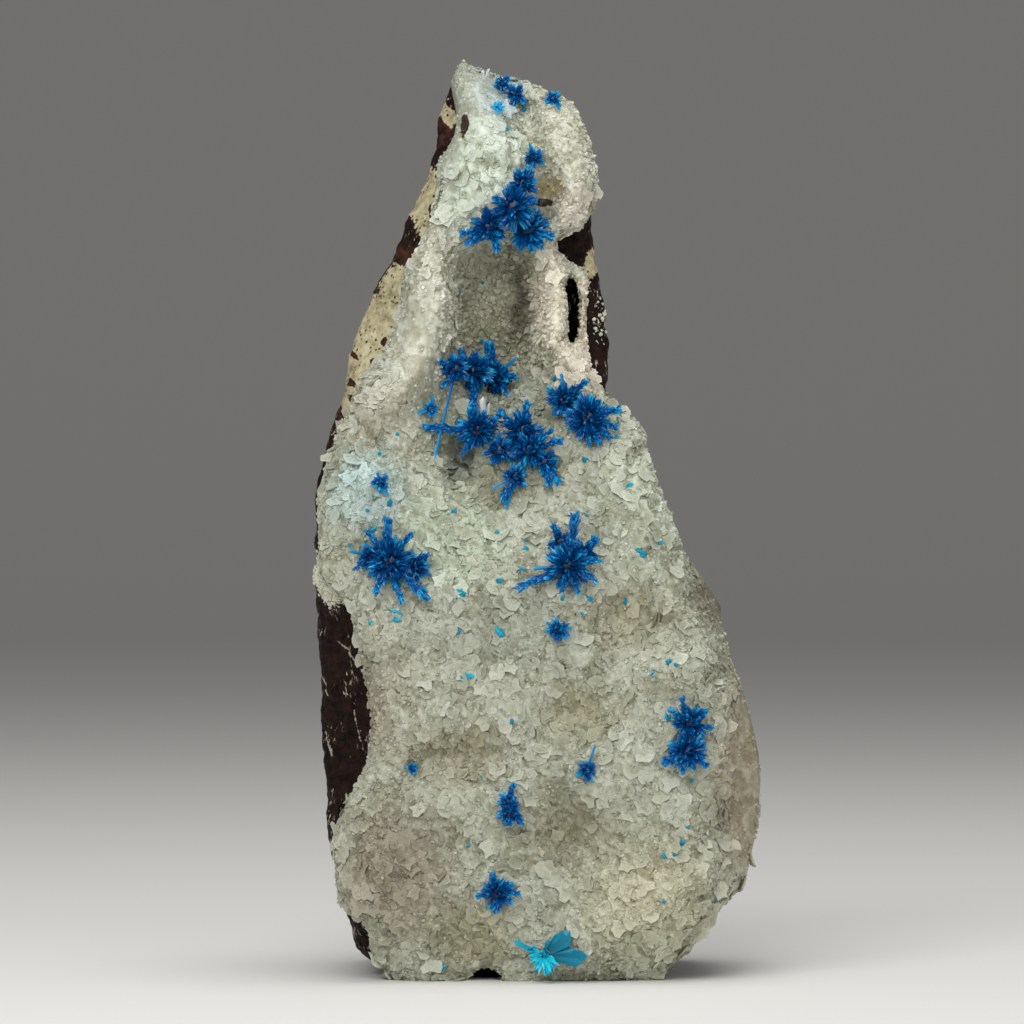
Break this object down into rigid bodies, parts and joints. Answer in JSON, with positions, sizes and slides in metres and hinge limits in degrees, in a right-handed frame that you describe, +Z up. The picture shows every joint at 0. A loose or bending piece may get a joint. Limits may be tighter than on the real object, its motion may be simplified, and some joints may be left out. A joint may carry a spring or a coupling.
{
  "type": "pentagonite mineral specimen",
  "caption": "Mineral specimen standing on its flat foot: blue pentagonite sprays scattered over a pale druse crust on dark basalt.",
  "frame": {"origin": "middle of the bounding box at the height of the foot", "axes": "+Z up along the height of the specimen, +X to the right, and the crystal-lined front faces -Y"},
  "size_m": [0.0486, 0.0395, 0.1],
  "materials": {
    "basalt": "rough, broken",
    "druse": "translucent, sugary with small crystal faces",
    "pentagonite": "glassy blue crystal",
    "pale_pentagonite": "glassy blue-green crystal"
  },
  "bodies": {
    "root": {"basalt_matrix": "basalt", "druse_crust": "druse", "spray_crest": "pentagonite", "spray_crest_right": "pentagonite", "spray_crest_cyan": "pentagonite", "spray_upper_fan": "pentagonite", "spray_centre_group": "pentagonite", "spray_lip": "pentagonite", "spray_right_shoulder": "pentagonite", "spray_left_small": "pentagonite", "spray_left": "pentagonite", "spray_middle": "pentagonite", "spray_middle_small": "pentagonite", "spray_right": "pentagonite", "spray_lower_left": "pentagonite", "spray_lower_right": "pentagonite", "spray_lower_middle": "pentagonite", "spray_bottom": "pentagonite", "spray_foot_fan": "pale_pentagonite"}
  },
  "joints": []
}
